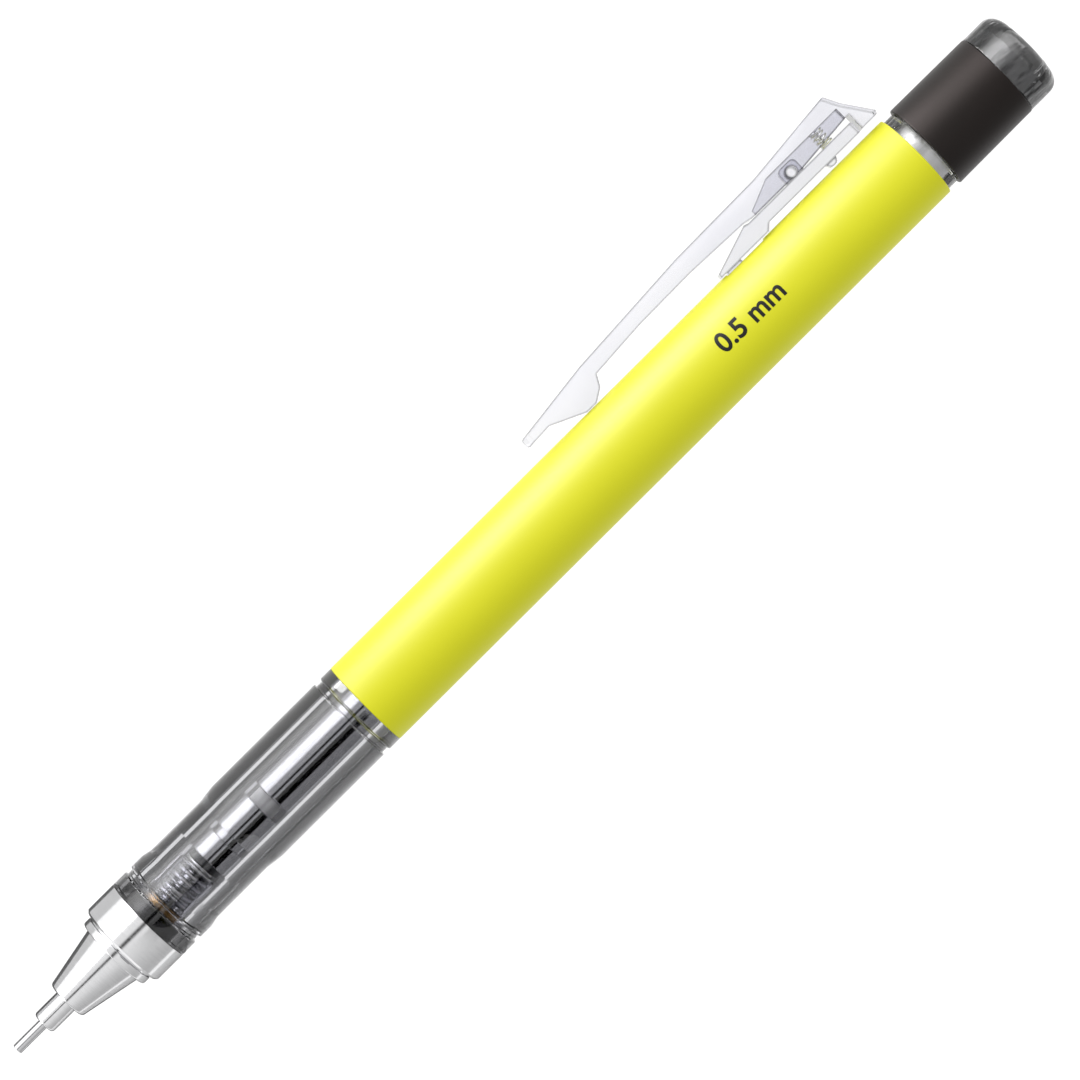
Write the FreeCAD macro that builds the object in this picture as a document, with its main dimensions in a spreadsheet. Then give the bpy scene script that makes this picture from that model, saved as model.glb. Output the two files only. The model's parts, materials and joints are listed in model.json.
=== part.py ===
import FreeCAD, Part
import math
import os
import re
import Sketcher

# A 0.5 mm mechanical pencil with a shaking weight, a clear smoke grip, a clip that slides to
# lock, and an eraser that twists out of the cap.
#
# Each piece is drawn in the pencil's own lengthwise frame: X runs along the axis from the end
# of the guide pipe, Y points out through the clip and Z goes across it. The placement at the
# end lays the pencil on its side, as it rests on a table, with the tip towards -X.
# All sizes are in millimetres. A name ending in _at is a station along the axis.

SIZES = {
    # stations of the outside, counted from the end of the guide pipe
    "collar_at": 3.85,
    "cone_at": 7.28,
    "ring_at": 14.15,
    "ring_body_at": 15.35,
    "grip_at": 19.3,
    "bump_at": 21.9,
    "waist_at": 24.5,
    "waist_end_at": 31.8,
    "upper_grip_at": 33.7,
    "grip_collar_at": 49.6,
    "barrel_at": 51.1,
    "barrel_end_at": 131.8,
    "sleeve_at": 133.2,
    "sleeve_end_at": 143.8,
    "pencil_end_at": 148.0,
    # outside radii
    "collar_radius": 1.33,
    "cone_front_radius": 2.3,
    "cone_rear_radius": 3.65,
    "flange_radius": 4.4,
    "grip_radius": 5.14,
    "waist_radius": 4.9,
    "groove_radius": 4.86,
    "barrel_radius": 5.13,
    "sleeve_front_radius": 5.21,
    "sleeve_rear_radius": 5.145,
    "cap_radius": 5.1,
    "neck_radius": 4.82,
    # bores of the case
    "pipe_radius": 0.575,
    "pipe_bore": 0.31,
    "thread_radius": 3.25,
    "thread_pitch": 0.4,
    "tip_bore": 2.35,
    "grip_front_bore": 2.75,
    "grip_bore": 2.55,
    "bore_step_at": 28.1,
    "barrel_bore": 4.15,
    "mouth_bore": 4.88,
    "mouth_at": 128.6,
    # feed mechanism
    "lead_radius": 0.275,
    "retainer_at": 11.2,
    "chuck_at": 18.6,
    "clutch_at": 20.0,
    "clutch_end_at": 21.9,
    "spring_at": 22.5,
    "spring_end_at": 27.35,
    "spring_wire": 0.2,
    "spring_radius": 1.74,
    "collar_a_at": 28.1,
    "collar_a_end_at": 30.75,
    "ring_b_at": 31.8,
    "ring_b_end_at": 35.8,
    "impact_radius": 2.4,
    "tube_radius": 1.6,
    "tube_bore": 1.25,
    "tube_at": 28.6,
    "tube_end_at": 115.0,
    "weight_at": 37.4,
    "weight_length": 35.0,
    "weight_bore": 1.75,
    "stop_at": 81.0,
    "stop_length": 4.0,
    # small parts of the tip and case
    "pipe_shoulder": 0.2,
    "thread_root_radius": 3.05,
    "stop_nose_radius": 2.9,
    "retainer_end_at": 13.8,
    "retainer_bore": 0.3,
    "retainer_radius": 1.45,
    "retainer_waist_radius": 1.1,
    # small parts of the feed mechanism
    "chuck_bore": 0.29,
    "chuck_nose_radius": 1.05,
    "chuck_head_radius": 1.42,
    "stem_radius": 0.95,
    "stem_bore": 0.45,
    "stem_end_at": 27.2,
    "jaw_gap": 0.22,
    "clutch_bore": 1.5,
    "clutch_radius": 2.2,
    "clutch_pocket_bore": 2.3,
    "clutch_stop_bore": 1.1,
    "sleeve_flange_radius": 3.2,
    "inner_sleeve_radius": 2.47,
    "inner_sleeve_bore": 2.1,
    "side_slot_width": 1.3,
    "spring_turns": 6.4,
    "connector_radius": 1.95,
    "connector_nose_radius": 1.45,
    "tube_nose_bore": 0.75,
    "lead_at": 0.35,
    "lead_length": 60.0,
    "spare_at": 44.0,
    "spare_off_axis": 0.82,
    # eraser unit
    "case_at": 117.2,
    "case_radius": 3.15,
    "case_bore": 2.75,
    "plug_radius": 1.2,
    "spiral_at": 118.6,
    "spiral_end_at": 146.2,
    "spiral_radius": 3.75,
    "spiral_bore": 3.2,
    "spiral_pitch": 5.0,
    "spiral_depth": 0.33,
    "lug_at": 122.0,
    "lug_radius": 0.5,
    "eraser_radius": 2.6,
    "eraser_travel": 20.0,
    "eraser_end_at": 147.5,
    "shank_radius": 2.3,
    "cup_floor_at": 122.9,
    "cup_end_at": 125.5,
    "sleeve_bore": 4.6,
    "cap_bore": 2.72,
    # clip: heights above the pencil's axis, and half widths across the clip
    "pin_at": 121.4,
    "pin_height": 7.95,
    "pin_radius": 0.6,
    "base_foot": 5.23,
    "strip_bottom": 5.87,
    "strip_top": 7.3,
    "lock_travel": 3.0,
    "neck_at": 109.3,
    "neck_length": 2.0,
    "neck_half_width": 1.2,
    "base_half_width": 2.0,
    "arm_half_width": 1.5,
    "lever_half_width": 2.05,
    "thumb_half_width": 2.7,
    "lug_half_width": 0.9,
    "channel_half_width": 1.15,
    "channel_roof": 9.35,
    "foot_at": 108.5,
    "foot_end_at": 115.4,
    "strip_at": 116.1,
    "strip_end_at": 129.4,
    "clip_coil_at": 126.2,
    "clip_coil_radius": 0.72,
    "clip_wire": 0.11,
    "clip_turns": 5.0,
    "slider_at": 101.0,
    "slider_bore": 1.9,
    "finger_at": 88.0,
    "finger_top": 2.7,
    # how the pencil lies: the roll brings the clip's edge down to the table
    "roll_degrees": 13.35,
    "middle_offset": -3.147,
}

document = FreeCAD.newDocument("MechanicalPencil")
sheet = document.addObject("Spreadsheet::Sheet", "Sizes")
for row, (alias, value) in enumerate(SIZES.items(), start=1):
    sheet.set(f"A{row}", alias)
    sheet.set(f"B{row}", str(value))
    sheet.setAlias(f"B{row}", alias)
document.recompute()


def bound(expression):
    """Name the sheet in front of each alias, so that the expression works in any object."""
    return re.sub(r"[a-z][a-z_]*", lambda word: "Sizes." + word.group(0), str(expression))


def size(expression):
    """The value of an expression of aliases, in millimetres."""
    return float(sheet.evalExpression(bound(expression)))


def new_body(label):
    body = document.addObject("PartDesign::Body", label)
    body.Label = label
    return body


def plane_of(body, role):
    return next(feature for feature in body.Origin.OriginFeatures if feature.Role == role)


def draw(body, name, outlines, role="XY_Plane"):
    """A sketch of closed outlines. Each corner is a pair of expressions, held to the origin."""
    sketch = body.newObject("Sketcher::SketchObject", name)
    sketch.AttachmentSupport = [(plane_of(body, role), "")]
    sketch.MapMode = "FlatFace"
    for outline in outlines:
        corners = [FreeCAD.Vector(size(along), size(out), 0) for along, out in outline]
        first = sketch.GeometryCount
        count = len(corners)
        for index in range(count):
            line = Part.LineSegment(corners[index], corners[(index + 1) % count])
            sketch.addGeometry(line, False)
        for index in range(count):
            following = first + (index + 1) % count
            sketch.addConstraint(Sketcher.Constraint("Coincident", first + index, 2, following, 1))
        for index, (along, out) in enumerate(outline):
            hold(sketch, first + index, "DistanceX", along)
            hold(sketch, first + index, "DistanceY", out)
    return sketch


def hold(sketch, line, direction, expression, point=1):
    """Hold a line's start at a distance from the origin, or on the axis when that is nought."""
    if str(expression) == "0":
        axis = -1 if direction == "DistanceY" else -2
        sketch.addConstraint(Sketcher.Constraint("PointOnObject", line, point, axis))
        return
    distance = Sketcher.Constraint(direction, -1, 1, line, point, size(expression))
    index = sketch.addConstraint(distance)
    sketch.setExpression(f"Constraints[{index}]", bound(expression))


def draw_circle(body, name, along, out, radius, role="XY_Plane"):
    """A sketch of one circle, its centre held to the origin."""
    sketch = body.newObject("Sketcher::SketchObject", name)
    sketch.AttachmentSupport = [(plane_of(body, role), "")]
    sketch.MapMode = "FlatFace"
    centre = FreeCAD.Vector(size(along), size(out), 0)
    sketch.addGeometry(Part.Circle(centre, FreeCAD.Vector(0, 0, 1), size(radius)), False)
    hold(sketch, 0, "DistanceX", along, point=3)
    hold(sketch, 0, "DistanceY", out, point=3)
    index = sketch.addConstraint(Sketcher.Constraint("Radius", 0, size(radius)))
    sketch.setExpression(f"Constraints[{index}]", bound(radius))
    return sketch


def turn(body, name, *outlines):
    """Revolve closed outlines, drawn in station and radius, about the pencil's axis."""
    sketch = draw(body, name + "_outline", outlines)
    feature = body.newObject("PartDesign::Revolution", name)
    feature.Profile = sketch
    feature.ReferenceAxis = (sketch, ["H_Axis"])
    feature.Angle = 360
    sketch.Visibility = False
    document.recompute()
    return feature


def extrude(body, name, width, *outlines, kind="PartDesign::Pad", role="XY_Plane"):
    """Pad or pocket closed outlines, the same distance each side of their plane."""
    before = body.Shape.Volume if body.Tip else 0
    sketch = draw(body, name + "_outline", outlines, role)
    feature = body.newObject(kind, name)
    feature.Profile = sketch
    feature.SideType = "Symmetric"
    feature.Type = "Length"
    feature.setExpression("Length", bound(width))
    sketch.Visibility = False
    document.recompute()
    if kind == "PartDesign::Pocket" and feature.Shape.Volume > before - 1e-4:
        raise RuntimeError(name + " cuts nothing")
    return feature


def cut(body, name, width, *outlines, role="XY_Plane"):
    return extrude(body, name, width, *outlines, kind="PartDesign::Pocket", role=role)


def box_outline(start, end, low, high):
    return [(start, low), (end, low), (end, high), (start, high)]


def tube(start, end, inner, outer):
    """The outline of a plain tube."""
    return box_outline(start, end, inner, outer)


def rim_names(feature, rims):
    """The round edges of a turned piece that lie at the given stations and radii."""
    names = []
    for along, out in rims:
        for number, edge in enumerate(feature.Shape.Edges, start=1):
            curve = edge.Curve
            is_rim = isinstance(curve, Part.Circle) and abs(curve.Center.x - size(along)) < 0.01
            if is_rim and abs(curve.Radius - size(out)) < 0.01:
                names.append(f"Edge{number}")
    return names


def corner_names(feature, corners):
    """The straight edges across an extruded piece that pass through the given corners."""
    names = []
    for along, out in corners:
        for number, edge in enumerate(feature.Shape.Edges, start=1):
            ends = [vertex.Point for vertex in edge.Vertexes]
            on_corner = all(abs(end.x - size(along)) < 0.01 for end in ends)
            on_corner = on_corner and all(abs(end.y - size(out)) < 0.01 for end in ends)
            if on_corner and len(ends) == 2:
                names.append(f"Edge{number}")
    return names


def soften(body, feature, edges, radius, kind="PartDesign::Fillet"):
    """Round or chamfer the named edges of the latest feature."""
    if not edges:
        raise RuntimeError(feature.Label + " has no such edge")
    dressed = body.newObject(kind, feature.Name + "_soft")
    dressed.Base = (feature, edges)
    property_name = "Radius" if kind == "PartDesign::Fillet" else "Size"
    dressed.setExpression(property_name, bound(radius))
    document.recompute()
    if "Invalid" in dressed.State:
        raise RuntimeError(f"{body.Label}: {feature.Label} cannot be softened")
    return dressed


def repeat_round(body, feature, count):
    """Repeat a feature at even angles about the pencil's axis."""
    pattern = body.newObject("PartDesign::PolarPattern", feature.Name + "_pattern")
    pattern.Originals = [feature]
    pattern.Axis = (plane_of(body, "X_Axis"), [""])
    pattern.Angle = 360
    pattern.Occurrences = count
    body.Tip = pattern
    document.recompute()
    return pattern


# ---------------------------------------------------------------- tip and case

def make_guide_pipe():
    body = new_body("guide_pipe")
    pipe = turn(body, "pipe", [
        ("0", "pipe_bore"), ("0", "pipe_radius"), ("collar_at", "pipe_radius"),
        ("collar_at", "pipe_radius + pipe_shoulder"),
        ("retainer_at", "pipe_radius + pipe_shoulder"),
        ("retainer_at", "pipe_bore")])
    soften(body, pipe, rim_names(pipe, [("0", "pipe_radius")]), "0.12")
    return body


def make_lead_retainer():
    """A rubber bush with a waist, which keeps the lead from falling back."""
    body = new_body("lead_retainer")
    turn(body, "bush", [
        ("retainer_at", "retainer_bore"), ("retainer_end_at", "retainer_bore"),
        ("retainer_end_at", "retainer_radius"),
        ("retainer_at + 1.9", "retainer_radius"), ("retainer_at + 1.6", "retainer_waist_radius"),
        ("retainer_at + 0.9", "retainer_waist_radius"),
        ("retainer_at + 0.6", "retainer_radius"), ("retainer_at", "retainer_radius")])
    return body


def make_tip_cone():
    """Collar, cone and the threaded spigot that screws into the grip."""
    body = new_body("tip_cone")
    outline = [
        ("collar_at", "pipe_radius + pipe_shoulder"), ("collar_at", "collar_radius"),
        ("cone_at", "collar_radius"), ("cone_at", "cone_front_radius"),
        ("ring_at - 0.05", "cone_rear_radius"), ("ring_at - 0.05", "thread_root_radius")]
    for ridge in range(9):
        start = f"grip_at - 2.2 + {ridge} * thread_pitch"
        outline.append((start, "thread_root_radius"))
        outline.append((start + " + thread_pitch * 0.3", "thread_radius"))
        outline.append((start + " + thread_pitch * 0.5", "thread_radius"))
        outline.append((start + " + thread_pitch * 0.8", "thread_root_radius"))
    outline += [
        ("grip_at + 1.6", "thread_root_radius"), ("grip_at + 1.6", "tip_bore"),
        ("ring_at + 0.6", "tip_bore"), ("retainer_end_at", "retainer_radius"),
        ("retainer_at", "retainer_radius"), ("retainer_at", "pipe_radius + pipe_shoulder")]
    cone = turn(body, "cone", outline)
    rims = rim_names(cone, [("collar_at", "collar_radius"), ("cone_at", "cone_front_radius")])
    soften(body, cone, rims, "0.35")
    return body


def make_front_ring():
    """The metal ring between cone and grip, with a thinner flange in front."""
    body = new_body("front_ring")
    ring = turn(body, "ring", [
        ("ring_at", "thread_radius + 0.02"), ("ring_at", "flange_radius"),
        ("ring_body_at - 0.25", "flange_radius"), ("ring_body_at - 0.25", "flange_radius - 0.25"),
        ("ring_body_at", "flange_radius - 0.25"), ("ring_body_at", "barrel_radius - 0.25"),
        ("ring_body_at + 0.25", "barrel_radius"), ("grip_at - 0.05", "barrel_radius"),
        ("grip_at - 0.05", "thread_radius + 0.02")])
    rims = [("ring_at", "flange_radius"), ("ring_body_at - 0.25", "flange_radius")]
    soften(body, ring, rim_names(ring, rims), "0.2")
    return body


def make_grip():
    """The thick clear grip: front ring, finger waist, rear collar and barrel spigot."""
    body = new_body("grip")
    grip = turn(body, "moulding", [
        ("grip_at", "thread_radius + 0.04"), ("grip_at", "grip_radius"),
        ("bump_at - 0.9", "grip_radius"), ("bump_at - 0.75", "groove_radius"),
        ("bump_at - 0.15", "groove_radius"), ("bump_at", "grip_radius"),
        ("waist_at - 1.1", "grip_radius"), ("waist_at", "waist_radius"),
        ("waist_end_at", "waist_radius"), ("upper_grip_at", "grip_radius"),
        ("grip_collar_at - 0.9", "grip_radius"), ("grip_collar_at - 0.8", "groove_radius"),
        ("grip_collar_at - 0.15", "groove_radius"), ("grip_collar_at", "grip_radius"),
        ("barrel_at - 0.02", "grip_radius"), ("barrel_at - 0.02", "barrel_bore - 0.03"),
        ("barrel_at + 7", "barrel_bore - 0.03"), ("barrel_at + 7", "grip_bore"),
        ("bore_step_at", "grip_bore"), ("bore_step_at", "grip_front_bore"),
        ("bump_at - 0.2", "grip_front_bore"), ("bump_at - 0.2", "thread_radius + 0.04")])
    rims = [("grip_at", "grip_radius"), ("bump_at - 0.9", "grip_radius")]
    rims += [("grip_collar_at", "grip_radius"), ("grip_collar_at - 0.9", "grip_radius")]
    soften(body, grip, rim_names(grip, rims), "0.09")
    return body


def make_barrel():
    """The coloured barrel, with the clip's slot and a wider mouth for the press stroke."""
    body = new_body("barrel")
    shell = turn(body, "shell", [
        ("barrel_at", "barrel_bore"), ("barrel_at", "barrel_radius"),
        ("barrel_end_at", "barrel_radius"), ("barrel_end_at", "mouth_bore"),
        ("mouth_at", "mouth_bore"), ("mouth_at", "barrel_bore")])
    rims = [("barrel_at", "barrel_radius"), ("barrel_end_at", "barrel_radius")]
    soften(body, shell, rim_names(shell, rims), "0.08")
    slot = box_outline("neck_at - 0.2", "neck_at + neck_length + lock_travel + 0.2", "3", "6")
    cut(body, "clip_slot", "2 * neck_half_width + 0.2", slot)
    return body


def make_weight_stop():
    """A bush fixed in the barrel: it guides the lead tube and stops the weight."""
    body = new_body("weight_stop")
    turn(body, "bush", [
        ("stop_at", "tube_radius + 0.08"), ("stop_at", "stop_nose_radius"),
        ("stop_at + 0.8", "stop_nose_radius"),
        ("stop_at + 0.8", "barrel_bore"), ("stop_at + stop_length", "barrel_bore"),
        ("stop_at + stop_length", "tube_radius + 0.08")])
    return body


# ---------------------------------------------------------------- feed mechanism

def make_chuck():
    """The chuck: a tapered head on a thin stem, slit into three jaws."""
    body = new_body("chuck")
    turn(body, "stem", [
        ("chuck_at", "chuck_bore"), ("chuck_at", "chuck_nose_radius"),
        ("chuck_at + 0.5", "chuck_head_radius"),
        ("chuck_at + 1.9", "chuck_head_radius"), ("chuck_at + 2.7", "stem_radius"),
        ("stem_end_at", "stem_radius"),
        ("stem_end_at", "stem_bore"), ("chuck_at + 2.4", "stem_bore"),
        ("chuck_at + 2.0", "chuck_bore")])
    slit = box_outline("chuck_at - 0.5", "chuck_at + 6", "0", "2")
    jaw_slit = cut(body, "jaw_slit", "jaw_gap", slit)
    repeat_round(body, jaw_slit, 3)
    return body


def make_clutch_ring():
    """The brass ring that closes the jaws while they sit inside it."""
    body = new_body("clutch_ring")
    ring = turn(body, "ring", tube("clutch_at", "clutch_end_at", "clutch_bore", "clutch_radius"))
    rims = [("clutch_at", "clutch_radius"), ("clutch_end_at", "clutch_radius")]
    soften(body, ring, rim_names(ring, rims), "0.15")
    return body


def make_chuck_sleeve():
    """The clear sleeve round the spring, slotted along each side."""
    body = new_body("chuck_sleeve")
    turn(body, "sleeve", [
        ("grip_at + 1.65", "clutch_pocket_bore"), ("grip_at + 1.65", "sleeve_flange_radius"),
        ("bump_at - 0.22", "sleeve_flange_radius"),
        ("bump_at - 0.22", "inner_sleeve_radius"), ("spring_end_at - 0.7", "inner_sleeve_radius"),
        ("spring_end_at - 0.7", "inner_sleeve_bore"),
        ("spring_at", "inner_sleeve_bore"), ("spring_at", "clutch_stop_bore"),
        ("clutch_end_at + 0.15", "clutch_stop_bore"),
        ("clutch_end_at + 0.15", "clutch_pocket_bore")])
    slot = box_outline("spring_at + 0.3", "spring_end_at", "1.8", "3")
    side_slot = cut(body, "side_slot", "side_slot_width", slot)
    repeat_round(body, side_slot, 4)
    return body


def spring_path(start, end, radius, wire, turns):
    """The centre line of a spring whose end coils close up, along X."""
    closed = 1.2
    points = []
    steps = 24
    total = int(turns * steps)
    length = end - start - 2 * wire
    slow = 2 * wire + 0.04
    fast = (length - 2 * closed * slow) / (turns - 2 * closed)
    along = start + wire
    for step in range(total + 1):
        angle = 2 * math.pi * step / steps
        points.append(FreeCAD.Vector(along, radius * math.cos(angle), radius * math.sin(angle)))
        middle = (step + 0.5) / steps
        pitch = slow if middle < closed or middle > turns - closed else fast
        along += pitch / steps
    return points


def make_coil(label, start, end, radius, wire, turns):
    """A round-wire coil spring swept along its path."""
    curve = Part.BSplineCurve()
    points = spring_path(start, end, radius, wire, turns)
    curve.interpolate(points)
    path = Part.Wire([curve.toShape()])
    circle = Part.makeCircle(wire, curve.StartPoint, curve.tangent(curve.FirstParameter)[0])
    shape = path.makePipeShell([Part.Wire([circle])], True, False)
    ideal = math.pi * wire * wire * path.Length
    if abs(shape.Volume - ideal) > 0.02 * ideal:
        raise RuntimeError(label + " does not have its wire's volume")
    feature = document.addObject("Part::Feature", label)
    feature.Label = label
    feature.Shape = shape
    return feature


def make_return_spring():
    return make_coil("return_spring", size("spring_at"), size("spring_end_at"),
                     size("spring_radius"), size("spring_wire"), size("spring_turns"))


def make_chuck_connector():
    """The connector that joins the chuck's stem to the lead tube."""
    body = new_body("chuck_connector")
    turn(body, "connector", [
        ("spring_end_at - 1.2", "stem_radius"), ("spring_end_at - 1.2", "connector_nose_radius"),
        ("spring_end_at", "connector_nose_radius"), ("spring_end_at", "connector_radius"),
        ("tube_at", "connector_radius"),
        ("tube_at", "tube_bore"), ("tube_at + 3", "tube_bore"), ("tube_at + 3", "tube_nose_bore"),
        ("tube_at", "stem_bore"), ("stem_end_at", "stem_bore"), ("stem_end_at", "stem_radius")])
    return body


def make_impact_collar():
    """The polished collar on the front of the lead tube, which takes the weight's blow."""
    body = new_body("impact_collar")
    collar = turn(body, "collar", [
        ("collar_a_at", "connector_radius"), ("collar_a_at", "impact_radius"),
        ("collar_a_end_at", "impact_radius"), ("collar_a_end_at", "tube_radius"),
        ("tube_at", "tube_radius"), ("tube_at", "connector_radius")])
    rims = [("collar_a_at", "impact_radius"), ("collar_a_end_at", "impact_radius")]
    soften(body, collar, rim_names(collar, rims), "0.1")
    return body


def make_strike_ring():
    """The second ring, which the weight hits first, with a thin neck to the collar."""
    body = new_body("strike_ring")
    ring = turn(body, "ring", [
        ("collar_a_end_at", "tube_radius"), ("collar_a_end_at", "connector_radius"),
        ("ring_b_at", "connector_radius"),
        ("ring_b_at", "impact_radius"), ("ring_b_end_at", "impact_radius"),
        ("ring_b_end_at", "tube_radius")])
    rims = [("ring_b_at", "impact_radius"), ("ring_b_end_at", "impact_radius")]
    soften(body, ring, rim_names(ring, rims), "0.1")
    return body


def make_lead_tube():
    body = new_body("lead_tube")
    turn(body, "tube", tube("tube_at", "tube_end_at", "tube_bore", "tube_radius"))
    return body


def make_weight():
    """The steel tube that slides when the pencil is shaken."""
    body = new_body("weight")
    slug = turn(body, "slug", tube("weight_at", "weight_at + weight_length", "weight_bore",
                                   "impact_radius"))
    rims = [("weight_at", "impact_radius"), ("weight_at + weight_length", "impact_radius")]
    soften(body, slug, rim_names(slug, rims), "0.25")
    return body


def make_leads():
    """The lead in use, and a node of spare leads in the tube."""
    body = new_body("lead")
    turn(body, "rod", box_outline("lead_at", "lead_at + lead_length", "0", "lead_radius"))
    rods = []
    off_axis = size("spare_off_axis")
    along = FreeCAD.Vector(1, 0, 0)
    for index in range(3):
        angle = math.radians(120 * index + 30)
        start = FreeCAD.Vector(size("spare_at"), off_axis * math.cos(angle),
                               off_axis * math.sin(angle))
        rods.append(Part.makeCylinder(size("lead_radius"), size("lead_length"), start, along))
    spare = document.addObject("Part::Feature", "spare_leads")
    spare.Label = "spare_leads"
    spare.Shape = Part.makeCompound(rods)
    return [body, spare]


# ---------------------------------------------------------------- eraser unit

def make_eraser_case():
    """The tube that carries the eraser unit. Its plug closes the lead tube."""
    body = new_body("eraser_case")
    turn(body, "case", [
        ("tube_end_at - 5", "0"), ("tube_end_at - 5", "plug_radius"),
        ("case_at", "plug_radius"), ("case_at", "case_radius"),
        ("spiral_end_at - 0.3", "case_radius"), ("spiral_end_at - 0.3", "case_bore"),
        ("case_at + 1.4", "case_bore"), ("case_at + 1.4", "0")])
    slot = box_outline("lug_at - lug_radius - 0.2", "lug_at + eraser_travel + lug_radius + 0.2",
                       "2", "4")
    cut(body, "lug_slot", "2 * lug_radius + 0.2", slot)
    cut(body, "plug_relief", "0.5", box_outline("tube_end_at - 6", "tube_end_at - 1", "-2", "2"))
    return body


def make_spiral_sleeve():
    """The sleeve that turns with the knob: its inner groove drives the eraser's lug."""
    body = new_body("spiral_sleeve")
    sleeve = turn(body, "sleeve",
                  tube("spiral_at", "spiral_end_at", "spiral_bore", "spiral_radius"))
    start = "lug_at - spiral_pitch"
    profile = draw(body, "groove_outline", [box_outline(
        start + " - lug_radius - 0.15", start + " + lug_radius + 0.15",
        "spiral_bore - 0.2", "spiral_bore + spiral_depth")])
    groove = body.newObject("PartDesign::SubtractiveHelix", "groove")
    groove.Profile = profile
    groove.ReferenceAxis = (profile, ["H_Axis"])
    groove.Mode = "pitch-height-angle"
    groove.LeftHanded = True
    groove.setExpression("Pitch", bound("spiral_pitch"))
    groove.setExpression("Height", bound("eraser_travel + spiral_pitch * 1.25"))
    document.recompute()
    if groove.Shape.Volume > sleeve.Shape.Volume - 1:
        raise RuntimeError("the spiral groove cuts nothing")
    return body


def make_eraser_carrier():
    """The cup that holds the eraser, with a round lug that runs in the spiral groove."""
    body = new_body("eraser_carrier")
    turn(body, "cup", [
        ("lug_at - 1.6", "0"), ("lug_at - 1.6", "case_bore - 0.06"),
        ("cup_end_at", "case_bore - 0.06"), ("cup_end_at", "shank_radius"),
        ("cup_floor_at", "shank_radius"),
        ("cup_floor_at", "0")])
    sketch = draw_circle(body, "lug_circle", "lug_at", "0", "lug_radius", "XZ_Plane")
    lug = body.newObject("PartDesign::Pad", "lug")
    lug.Profile = sketch
    lug.setExpression("Length", bound("spiral_bore + spiral_depth - 0.07"))
    document.recompute()
    if lug.Shape.BoundBox.YMax < size("spiral_bore"):
        lug.Reversed = True
        document.recompute()
    return body


def make_eraser():
    body = new_body("eraser")
    eraser = turn(body, "stick", [
        ("cup_floor_at", "0"), ("cup_floor_at", "shank_radius"), ("cup_end_at", "shank_radius"),
        ("cup_end_at", "eraser_radius"), ("eraser_end_at", "eraser_radius"),
        ("eraser_end_at", "0")])
    soften(body, eraser, rim_names(eraser, [("eraser_end_at", "eraser_radius")]), "0.3")
    return body


def make_knob():
    """The clear knob: the neck that enters the barrel, the sleeve's seat and the cap."""
    body = new_body("knob")
    knob = turn(body, "moulding", [
        ("sleeve_at - 3", "spiral_radius + 0.03"), ("sleeve_at - 3", "neck_radius"),
        ("sleeve_at - 0.15", "neck_radius"), ("sleeve_at - 0.15", "sleeve_bore"),
        ("sleeve_end_at", "sleeve_bore"), ("sleeve_end_at", "cap_radius"),
        ("pencil_end_at - 0.2", "cap_radius"), ("pencil_end_at", "cap_bore"),
        ("spiral_end_at", "cap_bore"), ("spiral_end_at", "spiral_radius + 0.03")])
    rounded = soften(body, knob, rim_names(knob, [("pencil_end_at - 0.2", "cap_radius")]), "1.5")
    front = [("sleeve_at - 0.15", "neck_radius"), ("sleeve_end_at", "cap_radius")]
    soften(body, rounded, rim_names(rounded, front), "0.12")
    return body


def make_knob_sleeve():
    """The soft rubber sleeve round the knob, a little slimmer towards the cap."""
    body = new_body("knob_sleeve")
    sleeve = turn(body, "sleeve", [
        ("sleeve_at", "sleeve_bore"), ("sleeve_at", "sleeve_front_radius"),
        ("sleeve_end_at - 0.02", "sleeve_rear_radius"), ("sleeve_end_at - 0.02", "sleeve_bore")])
    rims = [("sleeve_at", "sleeve_front_radius"), ("sleeve_end_at - 0.02", "sleeve_rear_radius")]
    soften(body, sleeve, rim_names(sleeve, rims), "0.15")
    return body


# ---------------------------------------------------------------- clip

def pierce(body, name, radius, kind, width):
    """A round bar or hole on the clip's pin line, the same distance each side of the middle."""
    feature = body.newObject(kind, name)
    feature.Profile = draw_circle(body, name + "_circle", "pin_at", "pin_height", radius)
    feature.SideType = "Symmetric"
    feature.setExpression("Length", bound(width))
    document.recompute()
    return feature


def make_clip_base():
    """The sliding foot of the clip: wedge, strip, pivot lug, detent nub and neck."""
    body = new_body("clip_base")
    foot = extrude(body, "foot", "2 * base_half_width", [
        ("foot_at", "base_foot"), ("foot_end_at", "base_foot"), ("strip_at", "strip_bottom"),
        ("strip_end_at", "strip_bottom"), ("strip_end_at", "strip_top"), ("114.5", "strip_top"),
        ("113.9", "strip_top + 0.17"), ("foot_at", "base_foot + 0.45")])
    corners = [("strip_end_at", "strip_bottom"), ("strip_end_at", "strip_top"),
               ("strip_at", "strip_bottom")]
    soften(body, foot, corner_names(foot, corners), "0.2")
    lug = extrude(body, "pivot_lug", "2 * lug_half_width", [
        ("pin_at - 1.2", "strip_top - 0.3"), ("pin_at + 1.2", "strip_top - 0.3"),
        ("pin_at + 1.2", "pin_height + 1.05"), ("pin_at - 1.2", "pin_height + 1.05")])
    tops = [("pin_at + 1.2", "pin_height + 1.05"), ("pin_at - 1.2", "pin_height + 1.05")]
    soften(body, lug, corner_names(lug, tops), "0.6")
    extrude(body, "detent_nub", "2 * lug_half_width", [
        ("124.45", "strip_bottom + 0.1"), ("124.75", "base_foot + 0.2"),
        ("125.0", "base_foot + 0.07"), ("125.4", "base_foot + 0.07"),
        ("125.65", "base_foot + 0.2"), ("125.95", "strip_bottom + 0.1")])
    neck = box_outline("neck_at", "neck_at + neck_length", "3.2", "base_foot + 0.2")
    extrude(body, "neck", "2 * neck_half_width", neck)
    pierce(body, "pin_hole", "pin_radius", "PartDesign::Pocket", "12")
    return body


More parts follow.
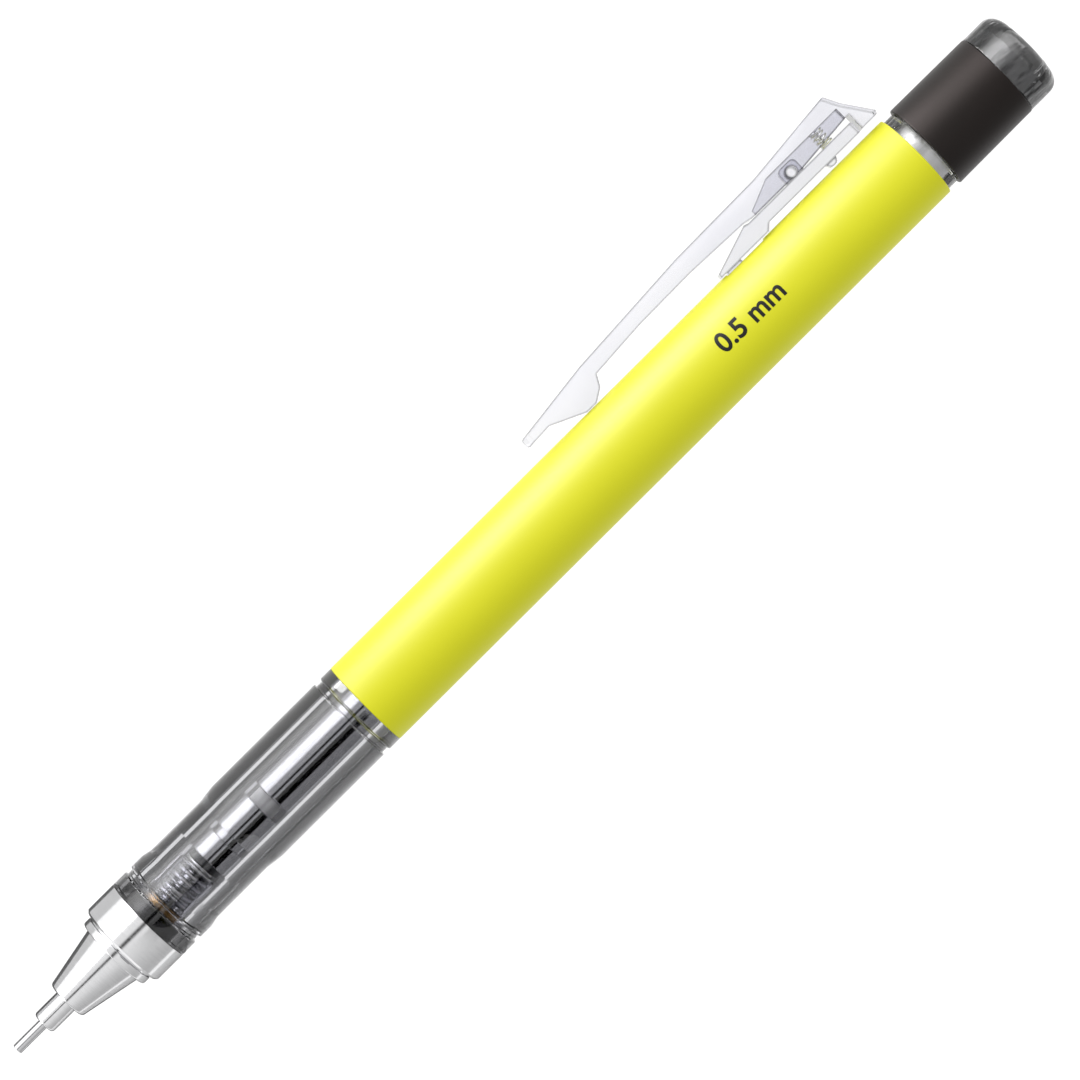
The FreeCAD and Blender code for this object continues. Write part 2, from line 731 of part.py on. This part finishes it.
def make_clip_pin():
    body = new_body("clip_pin")
    pierce(body, "pin", "pin_radius", "PartDesign::Pad", "2 * lever_half_width - 0.1")
    return body


# The lever's profile in stations and heights, from its tip over the top and back underneath.
ARM_TOP = [
    ("81.8", "6.8"), ("81.8", "7.9"), ("91.5", "9.1"), ("106.5", "10.0"), ("118", "10.15"),
    ("129.0", "11.2")]
THUMB_END = [
    ("129.9", "9.4"), ("132.0", "6.35"), ("131.85", "5.95"), ("129.75", "5.95"), ("129.75", "8.0")]
ARM_UNDERSIDE = [
    ("122.7", "7.4"), ("115.2", "7.4"), ("114.1", "7.62"), ("106.5", "7.9"), ("99", "7.8"),
    ("92.3", "7.35"), ("91.6", "6.1"), ("90.2", "5.2"), ("88.8", "5.2"), ("85.0", "6.95")]


def make_clip_lever():
    """The clear lever: arm, contact pad, cheeks astride the pivot lug, and thumb end."""
    body = new_body("clip_lever")
    arm = extrude(body, "arm", "2 * thumb_half_width", ARM_TOP + THUMB_END + ARM_UNDERSIDE)
    tips = [("81.8", "6.8"), ("81.8", "7.9"), ("129.0", "11.2"), ("131.85", "5.95")]
    rounded = soften(body, arm, corner_names(arm, tips), "0.3")
    pad_corners = corner_names(rounded, [("90.2", "5.2"), ("88.8", "5.2"), ("91.6", "6.1")])
    soften(body, rounded, pad_corners, "0.6")
    # in plan the arm widens from its tip to the pivot, and again to the thumb end
    half = [("80", "arm_half_width - 0.5"), ("81.8", "arm_half_width - 0.5"),
            ("82.8", "arm_half_width"), ("104", "arm_half_width + 0.1"),
            ("113", "lever_half_width"), ("122.5", "lever_half_width"),
            ("127.5", "thumb_half_width"), ("133", "thumb_half_width")]
    sides = []
    for sign in ("", "-1 * "):
        edge = [(along, f"{sign}({out})") for along, out in half]
        sides.append(edge + [("133", f"{sign}4"), ("80", f"{sign}4")])
    cut(body, "plan_shape", "30", *sides, role="XZ_Plane")
    channel = [
        ("115.6", "7.0"), ("129.3", "7.0"), ("129.3", "channel_roof"),
        ("119", "channel_roof"), ("115.6", "7.95")]
    cut(body, "lug_channel", "2 * channel_half_width", channel)
    pierce(body, "pin_hole", "pin_radius + 0.03", "PartDesign::Pocket", "12")
    return body


def make_clip_spring():
    """The small coil between the strip and the lever, behind the pin."""
    spring = make_coil("clip_spring", size("strip_top"), size("channel_roof"),
                       size("clip_coil_radius"), size("clip_wire"), size("clip_turns"))
    quarter_turn = FreeCAD.Rotation(FreeCAD.Vector(0, 0, 1), 90)
    upright = FreeCAD.Placement(FreeCAD.Vector(size("clip_coil_at"), 0, 0), quarter_turn)
    spring.Shape = spring.Shape.transformGeometry(upright.toMatrix())
    return spring


def make_lock_slider():
    """The slider inside the barrel that the clip pulls: a ring with two gripping fingers."""
    body = new_body("lock_slider")
    turn(body, "ring", tube("slider_at", "neck_at + neck_length + 0.9", "slider_bore",
                            "barrel_bore - 0.15"))
    finger = box_outline("finger_at", "slider_at + 0.5", "slider_bore", "finger_top")
    lower = box_outline("finger_at", "slider_at + 0.5", "-1 * slider_bore", "-1 * finger_top")
    extrude(body, "fingers", "1.8", finger, lower)
    pocket = box_outline("neck_at", "neck_at + neck_length", "3.2", "5")
    cut(body, "neck_pocket", "2 * neck_half_width", pocket)
    return body


# ---------------------------------------------------------------- assembly

MAKERS = [
    make_guide_pipe, make_lead_retainer, make_tip_cone, make_front_ring, make_grip, make_barrel,
    make_weight_stop, make_chuck, make_clutch_ring, make_chuck_sleeve, make_return_spring,
    make_chuck_connector, make_impact_collar, make_strike_ring, make_lead_tube, make_weight,
    make_leads, make_eraser_case, make_spiral_sleeve, make_eraser_carrier, make_eraser, make_knob,
    make_knob_sleeve, make_clip_base, make_clip_pin, make_clip_lever, make_clip_spring,
    make_lock_slider]


def build_pieces():
    pieces = []
    for maker in MAKERS:
        made = maker()
        pieces += made if isinstance(made, list) else [made]
    return pieces


def lay_down(piece):
    """Roll the pencil so that its clip rests on the table, and lift it to the table's height."""
    corner = FreeCAD.Vector(-size("pencil_end_at") / 2, size("middle_offset"),
                            size("sleeve_front_radius"))
    roll = FreeCAD.Rotation(FreeCAD.Vector(1, 0, 0), -size("roll_degrees"))
    piece.Placement = FreeCAD.Placement(corner, roll)


def check_pieces(pieces):
    for item in document.Objects:
        if "Invalid" in item.State or "Error" in item.State:
            raise RuntimeError(item.Label + " failed to compute")
    for piece in pieces:
        if piece.Shape.isNull() or not piece.Shape.isValid():
            raise RuntimeError(piece.Label + " has no valid shape")


sub_parts = build_pieces()
for sub_part in sub_parts:
    lay_down(sub_part)
document.recompute()
check_pieces(sub_parts)
os.makedirs("parts", exist_ok=True)
for sub_part in sub_parts:
    sub_part.Shape.exportStep(f"parts/{sub_part.Label}.step")
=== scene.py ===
"""Looks for a mechanical pencil with a clear smoke grip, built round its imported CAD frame.

The scene is in metres. Stations, which run along the pencil from its tip, and the sizes of
cards and lettering are in millimetres. The pencil lies along X with its tip towards -X, and its
clip points towards +Y and a little down, as it rests on a table.
"""
import json
import math

import bmesh
import bpy
from mathutils import Matrix, Vector


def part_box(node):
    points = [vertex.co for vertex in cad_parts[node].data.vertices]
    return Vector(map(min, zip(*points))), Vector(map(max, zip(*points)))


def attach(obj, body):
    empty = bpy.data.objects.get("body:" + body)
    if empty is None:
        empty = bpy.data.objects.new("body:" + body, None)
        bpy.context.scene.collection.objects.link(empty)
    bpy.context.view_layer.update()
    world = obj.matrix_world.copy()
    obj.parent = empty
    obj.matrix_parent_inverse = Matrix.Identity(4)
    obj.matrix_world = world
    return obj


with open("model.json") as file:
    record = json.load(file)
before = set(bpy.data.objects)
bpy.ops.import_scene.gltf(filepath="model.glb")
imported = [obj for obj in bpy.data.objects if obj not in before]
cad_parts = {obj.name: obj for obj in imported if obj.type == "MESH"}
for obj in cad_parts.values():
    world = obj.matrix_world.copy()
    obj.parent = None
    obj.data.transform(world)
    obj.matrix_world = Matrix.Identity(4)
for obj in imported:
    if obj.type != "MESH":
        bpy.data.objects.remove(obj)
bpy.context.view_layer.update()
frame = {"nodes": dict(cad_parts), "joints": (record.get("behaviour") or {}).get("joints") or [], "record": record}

MM = 0.001

# The camera's place: how the pencil slants in the picture in degrees, how far away it stands in
# metres, and its aim, a station near the pencil's middle moved right and up in millimetres.
CAMERA_SLANT = 44.83
CAMERA_DISTANCE = 0.55
AIM_STATION = 74
AIM_RIGHT = 1.92
AIM_UP = 0.85

# The camera's lens and sensor in millimetres, half the table's width in metres, and its glow.
LENS = 176.2
SENSOR_WIDTH = 36
TABLE_HALF = 1.5
TABLE_GLOW = 0.97

# Stretches of stations that the cards lie beside or over.
TIP_SPAN = (-6, 19)
GRIP_SPAN = (19, 51)
GRIP_TOP_SPAN = (14, 48)
BARREL_SPAN = (48, 134)
CLIP_SPAN = (70, 138)
CAP_SPAN = (132, 210)
CAP_TOP_SPAN = (152.5, 170)

# How high the top cards hang in millimetres, and how dark a black card is.
TOP_HEIGHT = 65
BLACK = 0
NEAR_BLACK = 0.02

# The middle values of a noise texture, where nearly all of it lies.
NOISE_LOW = 0.3
NOISE_HIGH = 0.7

# Depths of surface relief in metres, and how strongly acrylic bends light.
POLISH_RIPPLE = 0.000002
FINE_GRAIN = 0.00001
COARSE_GRAIN = 0.00002
KNOB_RIPPLE = 0.0006
ACRYLIC_IOR = 1.49

# The painted edge shade of clear plastic: the radius searched for a second face in metres, and the
# cosines of the angle between smoothed and true normal that count as a full edge and as none.
EDGE_RADIUS = 0.0004
FULL_EDGE = 0.8
NO_EDGE = 0.99

# How far the print stands off the barrel's skin in millimetres.
PRINT_LIFT = 0.02

# The pencil's own directions, read from the clip's hinge: along, out through the clip, across.
HINGE = next(joint for joint in frame["joints"] if joint["name"] == "clip_open")
ALONG = Vector((1, 0, 0))
ACROSS = -Vector(HINGE["axis"]).normalized()
OUTWARD = ACROSS.cross(ALONG)

BARREL_LOW, BARREL_HIGH = (Vector(corner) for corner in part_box("barrel"))
AXIS_POINT = (BARREL_LOW + BARREL_HIGH) / 2
BARREL_RADIUS = (BARREL_HIGH.y - BARREL_LOW.y) / 2
TIP_X = Vector(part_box("guide_pipe")[0]).x


def place(station, out=0.0, across=0.0):
    """A point of the pencil: millimetres from the tip, out through the clip, and across."""
    centre = Vector((TIP_X + station * MM, AXIS_POINT.y, AXIS_POINT.z))
    return centre + OUTWARD * out * MM + ACROSS * across * MM


# ---------------------------------------------------------------- camera, light and stage

def add_camera():
    """The camera looks straight at the clip's profile, with the pencil on the diagonal."""
    slant = math.radians(CAMERA_SLANT)
    right = ALONG * math.cos(slant) - OUTWARD * math.sin(slant)
    up = ALONG * math.sin(slant) + OUTWARD * math.cos(slant)
    aim = place(AIM_STATION) + right * AIM_RIGHT * MM + up * AIM_UP * MM
    data = bpy.data.cameras.new("camera")
    data.sensor_width = SENSOR_WIDTH
    data.lens = LENS
    data.clip_start = 0.01
    camera = bpy.data.objects.new("camera", data)
    turned = Matrix((right, up, ACROSS)).transposed().to_4x4()
    camera.matrix_world = Matrix.Translation(aim + ACROSS * CAMERA_DISTANCE) @ turned
    bpy.context.collection.objects.link(camera)
    bpy.context.scene.camera = camera


def add_stage():
    """A pale table that glows a little, so that the background stays even."""
    half = TABLE_HALF
    mesh = bpy.data.meshes.new("table_top")
    corners = [(-half, -half, 0), (half, -half, 0), (half, half, 0), (-half, half, 0)]
    mesh.from_pydata(corners, [], [(0, 1, 2, 3)])
    table = bpy.data.objects.new("table_top", mesh)
    bpy.context.collection.objects.link(table)
    paper = bpy.data.materials.new("table_paper")
    paper.use_nodes = True
    shader = paper.node_tree.nodes["Principled BSDF"]
    shader.inputs["Base Color"].default_value = (0.12, 0.12, 0.12, 1)
    shader.inputs["Roughness"].default_value = 0.9
    shader.inputs["Emission Color"].default_value = (1, 1, 1, 1)
    shader.inputs["Emission Strength"].default_value = TABLE_GLOW
    mesh.materials.append(paper)


# The tent's brightness round the pencil: degrees from the camera's side towards the clip's, and
# how bright the tent is there. The narrow dark gap is where the camera stands.
TENT = [(-180, 0.5), (-122, 0.6), (-86, 0.56), (-58, 0.7), (-34, 0.92), (-8, 1.05), (-4, 0.02),
        (1, 0.02), (4, 1.0), (22, 1.0), (33, 4.6), (64, 4.6), (78, 1.0), (122, 0.8), (180, 0.5)]
TENT_FULL = max(level for degrees, level in TENT)


def add_tent():
    """A world that is brightest on the clip's side, with a dark gap where the camera stands."""
    world = bpy.data.worlds.new("studio")
    world.use_nodes = True
    nodes, links = world.node_tree.nodes, world.node_tree.links
    direction = nodes.new("ShaderNodeTexCoord").outputs["Generated"]
    parts = []
    for axis in (OUTWARD, ACROSS):
        dot = nodes.new("ShaderNodeVectorMath")
        dot.operation = "DOT_PRODUCT"
        dot.inputs[1].default_value = axis
        links.new(direction, dot.inputs[0])
        parts.append(dot.outputs["Value"])
    angle = nodes.new("ShaderNodeMath")
    angle.operation = "ARCTAN2"
    links.new(parts[0], angle.inputs[0])
    links.new(parts[1], angle.inputs[1])
    share = nodes.new("ShaderNodeMapRange")
    share.inputs["From Min"].default_value = -math.pi
    share.inputs["From Max"].default_value = math.pi
    links.new(angle.outputs["Value"], share.inputs["Value"])
    ramp = nodes.new("ShaderNodeValToRGB")
    elements = ramp.color_ramp.elements
    elements.remove(elements[1])
    for index, (degrees, level) in enumerate(TENT):
        position = (degrees + 180) / 360
        stop = elements[0] if index == 0 else elements.new(position)
        stop.position = position
        share_of_full = level / TENT_FULL
        stop.color = (share_of_full, share_of_full, share_of_full, 1)
    links.new(share.outputs["Result"], ramp.inputs["Fac"])
    links.new(ramp.outputs["Color"], nodes["Background"].inputs["Color"])
    nodes["Background"].inputs["Strength"].default_value = TENT_FULL
    bpy.context.scene.world = world


def add_card(name, along, out, shade, height=0.2, rise=0.0, glow=0.0, meets="bent"):
    """A card that the camera misses, over a span of stations and a span out across the table.

    Its height and its rise are in millimetres. It meets bent rays, mirrored ones or both.
    """
    corners = [(along[0], out[0], height), (along[1], out[0], height),
               (along[1], out[1], height + rise), (along[0], out[1], height + rise)]
    points = [(TIP_X + x * MM, AXIS_POINT.y + y * MM, z * MM) for x, y, z in corners]
    mesh = bpy.data.meshes.new(name)
    mesh.from_pydata(points, [], [(0, 1, 2, 3)])
    card = bpy.data.objects.new(name, mesh)
    bpy.context.collection.objects.link(card)
    paint = bpy.data.materials.new(name)
    paint.use_nodes = True
    shader = paint.node_tree.nodes["Principled BSDF"]
    shader.inputs["Base Color"].default_value = (shade, shade, shade, 1)
    shader.inputs["Specular IOR Level"].default_value = 0
    shader.inputs["Emission Color"].default_value = (1, 1, 1, 1)
    shader.inputs["Emission Strength"].default_value = glow
    mesh.materials.append(paint)
    card.visible_camera = False
    card.visible_diffuse = False
    card.visible_shadow = False
    card.visible_glossy = meets != "bent"
    card.visible_transmission = meets != "mirrored"


def add_light():
    """The tent, and the cards that give metal, clear plastic and lacquer their dark and light."""
    bpy.context.scene.view_settings.view_transform = "Standard"
    add_tent()
    add_card("tip_card", TIP_SPAN, (-8, 8), 0.1, meets="both")
    add_card("tip_low_side", TIP_SPAN, (-45, -8), 0.5, meets="both")
    add_card("tip_high_side", TIP_SPAN, (8, 45), 0.5, meets="both")
    add_card("grip_low_card", GRIP_SPAN, (-24, -3), 0.35)
    add_card("grip_under_card", GRIP_SPAN, (-3, 3), 0.14)
    add_card("grip_high_card", GRIP_SPAN, (5, 24), 0.14)
    add_card("grip_top_card", GRIP_TOP_SPAN, (-45, -3), BLACK, height=TOP_HEIGHT, meets="both")
    add_card("clip_card", CLIP_SPAN, (12, 60), NEAR_BLACK)
    add_card("clip_wall", CLIP_SPAN, (60, 60.1), NEAR_BLACK, rise=120)
    add_card("cap_card", CAP_SPAN, (-60, 60), NEAR_BLACK)
    add_card("cap_top_card", CAP_TOP_SPAN, (-45, 4), BLACK, height=TOP_HEIGHT, meets="both")
    add_card("barrel_glow", BARREL_SPAN, (50, 50.1), BLACK, rise=26, glow=17, meets="mirrored")


# ---------------------------------------------------------------- materials

def new_material(name, slot):
    """A Principled material that carries its slot's name, and its shader."""
    material = bpy.data.materials.new(name)
    material.use_nodes = True
    material["slot"] = slot
    return material, material.node_tree.nodes["Principled BSDF"]


def noise(material, scale, stretch=(1, 1, 1), detail=3):
    """Noise in the object's own coordinates, its scale per metre along each direction."""
    nodes, links = material.node_tree.nodes, material.node_tree.links
    coordinates = nodes.new("ShaderNodeTexCoord")
    mapping = nodes.new("ShaderNodeMapping")
    mapping.inputs["Scale"].default_value = stretch
    texture = nodes.new("ShaderNodeTexNoise")
    texture.inputs["Scale"].default_value = scale
    texture.inputs["Detail"].default_value = detail
    links.new(coordinates.outputs["Object"], mapping.inputs["Vector"])
    links.new(mapping.outputs["Vector"], texture.inputs["Vector"])
    return texture.outputs["Fac"]


def vary(material, source, socket, low, high):
    """Drive a shader socket between two values with a texture."""
    nodes, links = material.node_tree.nodes, material.node_tree.links
    shader = nodes["Principled BSDF"]
    spread = nodes.new("ShaderNodeMapRange")
    spread.inputs["From Min"].default_value = NOISE_LOW
    spread.inputs["From Max"].default_value = NOISE_HIGH
    spread.inputs["To Min"].default_value = low
    spread.inputs["To Max"].default_value = high
    links.new(source, spread.inputs["Value"])
    links.new(spread.outputs["Result"], shader.inputs[socket])


def tint(material, source, first, second):
    """Run the base colour between two colours with a texture."""
    nodes, links = material.node_tree.nodes, material.node_tree.links
    ramp = nodes.new("ShaderNodeValToRGB")
    ramp.color_ramp.elements[0].position = NOISE_LOW
    ramp.color_ramp.elements[1].position = NOISE_HIGH
    ramp.color_ramp.elements[0].color = (*first, 1)
    ramp.color_ramp.elements[1].color = (*second, 1)
    links.new(source, ramp.inputs["Fac"])
    links.new(ramp.outputs["Color"], nodes["Principled BSDF"].inputs["Base Color"])


def emboss(material, source, strength, distance):
    """Raise the surface with a texture, its full depth in metres."""
    nodes, links = material.node_tree.nodes, material.node_tree.links
    bump = nodes.new("ShaderNodeBump")
    bump.inputs["Strength"].default_value = strength
    bump.inputs["Distance"].default_value = distance
    links.new(source, bump.inputs["Height"])
    links.new(bump.outputs["Normal"], nodes["Principled BSDF"].inputs["Normal"])


def neon_barrel():
    """Matt fluorescent lacquer, with a painted glow: a steady emission for its fluorescence that lifts its shaded
    side.
    """
    material, shader = new_material("neon_yellow", "neon_barrel")
    tint(material, noise(material, 60), (0.28, 0.265, 0.003), (0.3, 0.285, 0.004))
    grain = noise(material, 9000, detail=2)
    vary(material, grain, "Roughness", 0.46, 0.54)
    emboss(material, grain, 0.08, FINE_GRAIN)
    shader.inputs["Specular IOR Level"].default_value = 0.35
    # Painted glow, the same all round the barrel, its shaded side too.
    shader.inputs["Emission Color"].default_value = (0.94, 1.0, 0.0, 1)
    shader.inputs["Emission Strength"].default_value = 0.27
    return material


def clear_plastic(name, slot, first, second, roughness, ripple=POLISH_RIPPLE):
    """A polished transparent plastic with the marks of its flow into the mould."""
    material, shader = new_material(name, slot)
    flow = noise(material, 300, stretch=(0.25, 1, 1))
    tint(material, flow, first, second)
    vary(material, flow, "Roughness", roughness * 0.6, roughness * 1.4)
    emboss(material, flow, 1, ripple)
    shader.inputs["Transmission Weight"].default_value = 1
    shader.inputs["IOR"].default_value = ACRYLIC_IOR
    return material


def scale_colour(material, factor):
    """Multiply what already drives the base colour by a factor."""
    nodes, links = material.node_tree.nodes, material.node_tree.links
    base = nodes["Principled BSDF"].inputs["Base Color"]
    scaled = nodes.new("ShaderNodeVectorMath")
    scaled.operation = "SCALE"
    links.new(base.links[0].from_socket, scaled.inputs[0])
    links.new(factor, scaled.inputs["Scale"])
    links.new(scaled.outputs["Vector"], base)


def deepen(material, start, end, share):
    """Darken a clear plastic from one station to another, down to a share of its colour."""
    nodes, links = material.node_tree.nodes, material.node_tree.links
    split = nodes.new("ShaderNodeSeparateXYZ")
    links.new(nodes["Texture Coordinate"].outputs["Object"], split.inputs["Vector"])
    slope = nodes.new("ShaderNodeMapRange")
    slope.inputs["From Min"].default_value = place(start).x
    slope.inputs["From Max"].default_value = place(end).x
    slope.inputs["To Min"].default_value = 1
    slope.inputs["To Max"].default_value = share
    links.new(split.outputs["X"], slope.inputs["Value"])
    scale_colour(material, slope.outputs["Result"])


def paint_edge_shade(material, share):
    """Paint shade along a clear plastic's sharp edges, darkening its colour there down to a share."""
    nodes, links = material.node_tree.nodes, material.node_tree.links
    bevel = nodes.new("ShaderNodeBevel")
    bevel.samples = 6
    bevel.inputs["Radius"].default_value = EDGE_RADIUS
    flat = nodes.new("ShaderNodeNewGeometry")
    meeting = nodes.new("ShaderNodeVectorMath")
    meeting.operation = "DOT_PRODUCT"
    links.new(bevel.outputs["Normal"], meeting.inputs[0])
    links.new(flat.outputs["True Normal"], meeting.inputs[1])
    slope = nodes.new("ShaderNodeMapRange")
    slope.inputs["From Min"].default_value = FULL_EDGE
    slope.inputs["From Max"].default_value = NO_EDGE
    slope.inputs["To Min"].default_value = share
    slope.inputs["To Max"].default_value = 1
    links.new(meeting.outputs["Value"], slope.inputs["Value"])
    scale_colour(material, slope.outputs["Result"])


def turned_metal(name, slot, first, second, roughness):
    """Metal with the fine rings that a lathe leaves."""
    material, shader = new_material(name, slot)
    rings = noise(material, 900, stretch=(12, 0.6, 0.6), detail=4)
    tint(material, rings, first, second)
    vary(material, rings, "Roughness", roughness * 0.8, roughness * 1.2)
    emboss(material, rings, 0.06, FINE_GRAIN)
    shader.inputs["Metallic"].default_value = 1
    return material


def matt(name, slot, first, second, roughness, grain_scale=6000, relief=0.15):
    """Moulded plastic or rubber with a fine grain."""
    material, shader = new_material(name, slot)
    tint(material, noise(material, 120), first, second)
    grain = noise(material, grain_scale, detail=3)
    vary(material, grain, "Roughness", roughness * 0.92, roughness * 1.08)
    emboss(material, grain, relief, COARSE_GRAIN)
    return material


def rubber_sleeve():
    """Black rubber whose faint shine is a little warm."""
    material = matt("black_rubber", "rubber_black", (0.004, 0.0035, 0.003),
                    (0.0055, 0.0045, 0.004), 0.42, grain_scale=7000, relief=0.25)
    shader = material.node_tree.nodes["Principled BSDF"]
    shader.inputs["Specular IOR Level"].default_value = 0.24
    shader.inputs["Specular Tint"].default_value = (1.0, 0.86, 0.84, 1)
    return material


def grip_smoke():
    """The grip's smoke plastic, with painted shade darkening it over the thread that takes the tip."""
    material = clear_plastic("smoke_plastic", "smoke_clear", (0.58, 0.58, 0.60),
                             (0.62, 0.62, 0.64), 0.02)
    # Painted shade: from station 21.2 to 20.8 the colour falls to 0.3 of itself, and stays there over the thread
    # towards the tip.
    deepen(material, 21.2, 20.8, 0.3)
    return material


def clip_plastic():
    """The clip's clear plastic, with painted shade along its edges so they show against white."""
    material = clear_plastic("clear_plastic", "clear_plastic", (0.83, 0.83, 0.88),
                             (0.88, 0.88, 0.92), 0.03)
    # Painted shade along the clip's edges, down to 0.3 of its colour.
    paint_edge_shade(material, 0.3)
    return material


def make_materials():
    """One material for each slot of the record, found by the slot's name."""
    made = [
        neon_barrel(),
        grip_smoke(),
        clip_plastic(),
        turned_metal("chrome_plate", "chrome", (0.70, 0.70, 0.71), (0.76, 0.76, 0.77), 0.14),
        turned_metal("turned_steel", "steel", (0.54, 0.54, 0.55), (0.62, 0.62, 0.63), 0.09),
        turned_metal("spring_wire", "spring_steel", (0.8, 0.8, 0.8), (0.88, 0.88, 0.88), 0.28),
        turned_metal("turned_brass", "brass", (0.72, 0.42, 0.13), (0.8, 0.5, 0.18), 0.22),
        rubber_sleeve(),
        matt("retainer_rubber", "retainer_rubber", (0.03, 0.03, 0.03), (0.05, 0.05, 0.05), 0.6),
        matt("white_moulding", "white_plastic", (0.74, 0.74, 0.73), (0.8, 0.8, 0.79), 0.4),
        turned_metal("silver_coating", "silver_plastic", (0.7, 0.7, 0.7), (0.78, 0.78, 0.78), 0.38),
        matt("eraser_vinyl", "eraser_white", (0.85, 0.85, 0.83), (0.9, 0.9, 0.88), 0.55),
        matt("black_moulding", "dark_plastic", (0.02, 0.02, 0.022), (0.03, 0.03, 0.033), 0.4),
        matt("graphite_rod", "graphite", (0.035, 0.035, 0.04), (0.06, 0.06, 0.065), 0.35),
    ]
    return {material["slot"]: material for material in made}


def knob_smoke():
    """The knob's smoke plastic: pale where its neck is thin, deep in the thick cap."""
    material = clear_plastic("knob_smoke", "smoke_clear", (0.86, 0.86, 0.87), (0.9, 0.9, 0.91), 0.02,
                             ripple=KNOB_RIPPLE)
    deepen(material, 134, 143, 0.4)
    return material


def dress_nodes(materials):
    """Give each CAD node the material of its slot in the record, and the knob its own smoke."""
    slots = {row["node"]: row["material_slot"] for row in frame["record"]["subparts"]}
    for name, node in frame["nodes"].items():
        if not node.material_slots:
            node.data.materials.append(None)
        for material_slot in node.material_slots:
            material_slot.material = materials[slots[name]]
    knob_slot = frame["nodes"]["knob"].material_slots[0]
    knob_slot.material = knob_smoke()


# ---------------------------------------------------------------- printed marks

def wrapped(station, degrees):
    """A point of the print: degrees round from the camera's side towards the clip."""
    angle = math.radians(degrees)
    radius = BARREL_RADIUS / MM + PRINT_LIFT
    return place(station, radius * math.sin(angle), radius * math.cos(angle))


def print_mark(name, words, station, height, degrees, ink):
    """Flat lettering, cut fine enough to bend round the barrel, reading from tip to cap."""
    curve = bpy.data.curves.new(name + "_curve", "FONT")
    curve.body = words
    curve.size = height
    curve.align_y = "CENTER"
    curve.resolution_u = 6
    curve.offset = height * 0.02
    text = bpy.data.objects.new(name + "_curve", curve)
    bpy.context.collection.objects.link(text)
    bpy.context.view_layer.update()
    mesh = bpy.data.meshes.new_from_object(text)
    bpy.data.objects.remove(text)
    subdivided = bmesh.new()
    subdivided.from_mesh(mesh)
    bmesh.ops.subdivide_edges(subdivided, edges=subdivided.edges, cuts=3, use_grid_fill=True)
    subdivided.to_mesh(mesh)
    subdivided.free()
    for vertex in mesh.vertices:
        around = degrees + math.degrees(vertex.co.y / (BARREL_RADIUS / MM))
        vertex.co = wrapped(station + vertex.co.x, around)
    piece = bpy.data.objects.new(name, mesh)
    bpy.context.collection.objects.link(piece)
    mesh.materials.clear()
    mesh.materials.append(ink)
    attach(piece, "case")


def main():
    """Set the studio, dress the CAD pieces and print the lead size on the barrel."""
    add_camera()
    add_stage()
    add_light()
    materials = make_materials()
    dress_nodes(materials)
    ink = matt("print_ink", "graphite", (0.004, 0.004, 0.004), (0.007, 0.007, 0.007), 0.5)
    ink.node_tree.nodes["Principled BSDF"].inputs["Specular IOR Level"].default_value = 0.2
    print_mark("lead_size_mark", "0.5 mm", 103, 3.0, 3, ink)


main()
